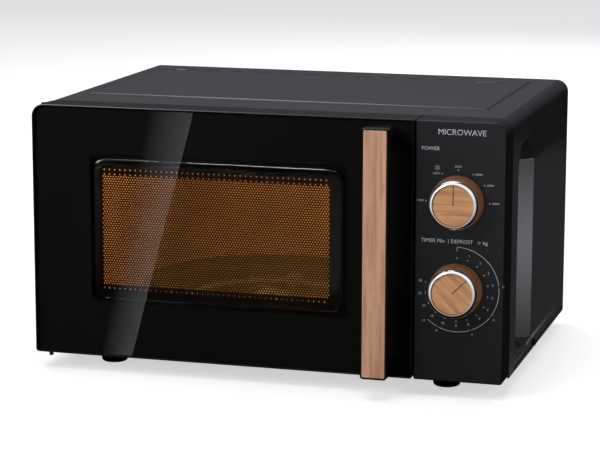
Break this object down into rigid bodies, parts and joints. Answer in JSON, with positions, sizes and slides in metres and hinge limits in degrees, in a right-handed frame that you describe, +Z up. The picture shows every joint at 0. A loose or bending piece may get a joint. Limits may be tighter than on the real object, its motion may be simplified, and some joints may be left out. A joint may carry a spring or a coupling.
{
  "type": "microwave oven",
  "caption": "Countertop microwave oven with a side-hinged glass door, wood-look bar handle, two rotary dials and a glass turntable.",
  "frame": {"origin": "on the surface the oven stands on, under the middle of its overall box", "axes": "+X to the right of someone facing the door, +Y towards the back, +Z up; the door faces -Y"},
  "size_m": [0.459, 0.375, 0.257],
  "materials": {
    "cover_paint": "satin dark grey stove enamel on folded steel",
    "chassis_steel": "galvanised sheet steel",
    "frame_paint": "black painted sheet steel",
    "liner_paint": "grey enamelled sheet steel",
    "fasteners": "zinc plated steel",
    "mica": "pale pressed mica sheet",
    "black_plastic": "black moulded plastic",
    "rubber": "black rubber",
    "fascia_plastic": "satin black moulded fascia",
    "door_plastic": "glossy black moulded frame",
    "door_glass": "dark tinted tempered glass with a black printed border",
    "wood_look": "warm beech wood-grain foil",
    "chrome": "polished chrome",
    "white_plastic": "white moulded plastic",
    "red_plastic": "red moulded plastic",
    "timer_case": "plated steel case with a bell",
    "clear_glass": "clear pressed glass",
    "magnetron_body": "bare metal yoke and cooling fins",
    "core_steel": "varnished steel laminations",
    "copper": "enamelled copper windings"
  },
  "bodies": {
    "cabinet": {"cabinet_cover": "cover_paint", "side_screw_left": "fasteners", "side_screw_right": "fasteners", "base_plate": "chassis_steel", "rear_panel": "chassis_steel", "front_frame": "frame_paint", "cavity_liner": "liner_paint", "waveguide_cover": "mica", "cord_bushing": "black_plastic", "hinge_upper": "fasteners", "hinge_lower": "fasteners", "foot_front_left": "rubber", "foot_front_right": "rubber", "foot_rear_left": "rubber", "foot_rear_right": "rubber", "control_panel": "fascia_plastic", "power_selector": "black_plastic", "timer_unit": "timer_case", "interlock_board": "white_plastic", "primary_switch": "black_plastic", "secondary_switch": "black_plastic", "monitor_switch": "black_plastic", "turntable_motor": "chassis_steel", "waveguide": "chassis_steel", "magnetron": "magnetron_body", "magnetron_antenna": "magnetron_body", "transformer_core": "core_steel", "transformer_windings": "copper", "capacitor": "magnetron_body", "hv_diode": "black_plastic", "fan_shroud": "black_plastic", "fan_motor": "chassis_steel", "lamp_socket": "white_plastic", "oven_lamp": "clear_glass"},
    "door": {"door_frame": "door_plastic", "door_glass": "door_glass", "door_screen": "frame_paint", "door_choke_cover": "black_plastic", "handle_bar": "door_plastic", "handle_inlay": "wood_look", "latch_spring": "fasteners"},
    "latch": {"latch_hook": "white_plastic"},
    "power_dial": {"power_knob": "wood_look", "power_knob_ring": "chrome", "power_knob_face": "wood_look", "power_shaft": "fasteners"},
    "timer_dial": {"timer_knob": "wood_look", "timer_knob_ring": "chrome", "timer_knob_face": "wood_look", "timer_shaft": "fasteners"},
    "turntable": {"turntable_plate": "clear_glass", "turntable_coupler": "white_plastic"},
    "roller_carrier": {"roller_ring": "white_plastic"},
    "first_roller": {"roller_1": "white_plastic"},
    "second_roller": {"roller_2": "white_plastic"},
    "third_roller": {"roller_3": "white_plastic"},
    "fan": {"fan_blade": "black_plastic"},
    "primary_button": {"primary_plunger": "red_plastic"},
    "secondary_button": {"secondary_plunger": "red_plastic"},
    "monitor_button": {"monitor_plunger": "red_plastic"}
  },
  "joints": [
    {"name": "door_hinge", "type": "hinge", "parent": "cabinet", "child": "door", "pos_m": [-0.2185, -0.1345, 0.136], "axis": [0, 0, -1], "range_deg": [0, 110]},
    {"name": "latch_slide", "type": "slide", "parent": "door", "child": "latch", "axis": [0, 0, 1], "range_m": [0, 0.004], "stiffness_N_per_m": 250, "springref_m": -0.002, "deforming": ["latch_spring"]},
    {"name": "power_turn", "type": "hinge", "parent": "cabinet", "child": "power_dial", "pos_m": [0.184, -0.1515, 0.183], "axis": [0, 1, 0], "range_deg": [-90, 90]},
    {"name": "timer_turn", "type": "hinge", "parent": "cabinet", "child": "timer_dial", "pos_m": [0.184, -0.1515, 0.1025], "axis": [0, 1, 0], "range_deg": [-45, 236]},
    {"name": "turntable_spin", "type": "hinge", "parent": "cabinet", "child": "turntable", "pos_m": [-0.0465, 0.02465, 0.05], "axis": [0, 0, 1], "continuous": true},
    {"name": "roller_ring_spin", "type": "hinge", "parent": "cabinet", "child": "roller_carrier", "pos_m": [-0.0465, 0.02465, 0.0438], "axis": [0, 0, 1], "continuous": true},
    {"name": "roller_1_spin", "type": "hinge", "parent": "roller_carrier", "child": "first_roller", "pos_m": [-0.0465, 0.11265, 0.0438], "axis": [0, 1, 0], "continuous": true},
    {"name": "roller_2_spin", "type": "hinge", "parent": "roller_carrier", "child": "second_roller", "pos_m": [-0.12271, -0.01935, 0.0438], "axis": [-0.866, -0.5, 0], "continuous": true},
    {"name": "roller_3_spin", "type": "hinge", "parent": "roller_carrier", "child": "third_roller", "pos_m": [0.02971, -0.01935, 0.0438], "axis": [0.866, -0.5, 0], "continuous": true},
    {"name": "fan_spin", "type": "hinge", "parent": "cabinet", "child": "fan", "pos_m": [0.16675, 0.1659, 0.17], "axis": [0, 1, 0], "continuous": true},
    {"name": "primary_press", "type": "slide", "parent": "cabinet", "child": "primary_button", "axis": [0, 0, -1], "range_m": [0, 0.0012], "stiffness_N_per_m": 200, "springref_m": -0.0005},
    {"name": "secondary_press", "type": "slide", "parent": "cabinet", "child": "secondary_button", "axis": [0, 0, 1], "range_m": [0, 0.0012], "stiffness_N_per_m": 200, "springref_m": -0.0005},
    {"name": "monitor_press", "type": "slide", "parent": "cabinet", "child": "monitor_button", "axis": [0, 0, -1], "range_m": [0, 0.0012], "stiffness_N_per_m": 200, "springref_m": -0.0005}
  ],
  "couplings": [
    {"joint": "roller_ring_spin", "follows": "turntable_spin", "ratio": 0.5},
    {"joint": "roller_1_spin", "follows": "turntable_spin", "ratio": -5.8667},
    {"joint": "roller_2_spin", "follows": "turntable_spin", "ratio": -5.8667},
    {"joint": "roller_3_spin", "follows": "turntable_spin", "ratio": -5.8667}
  ]
}
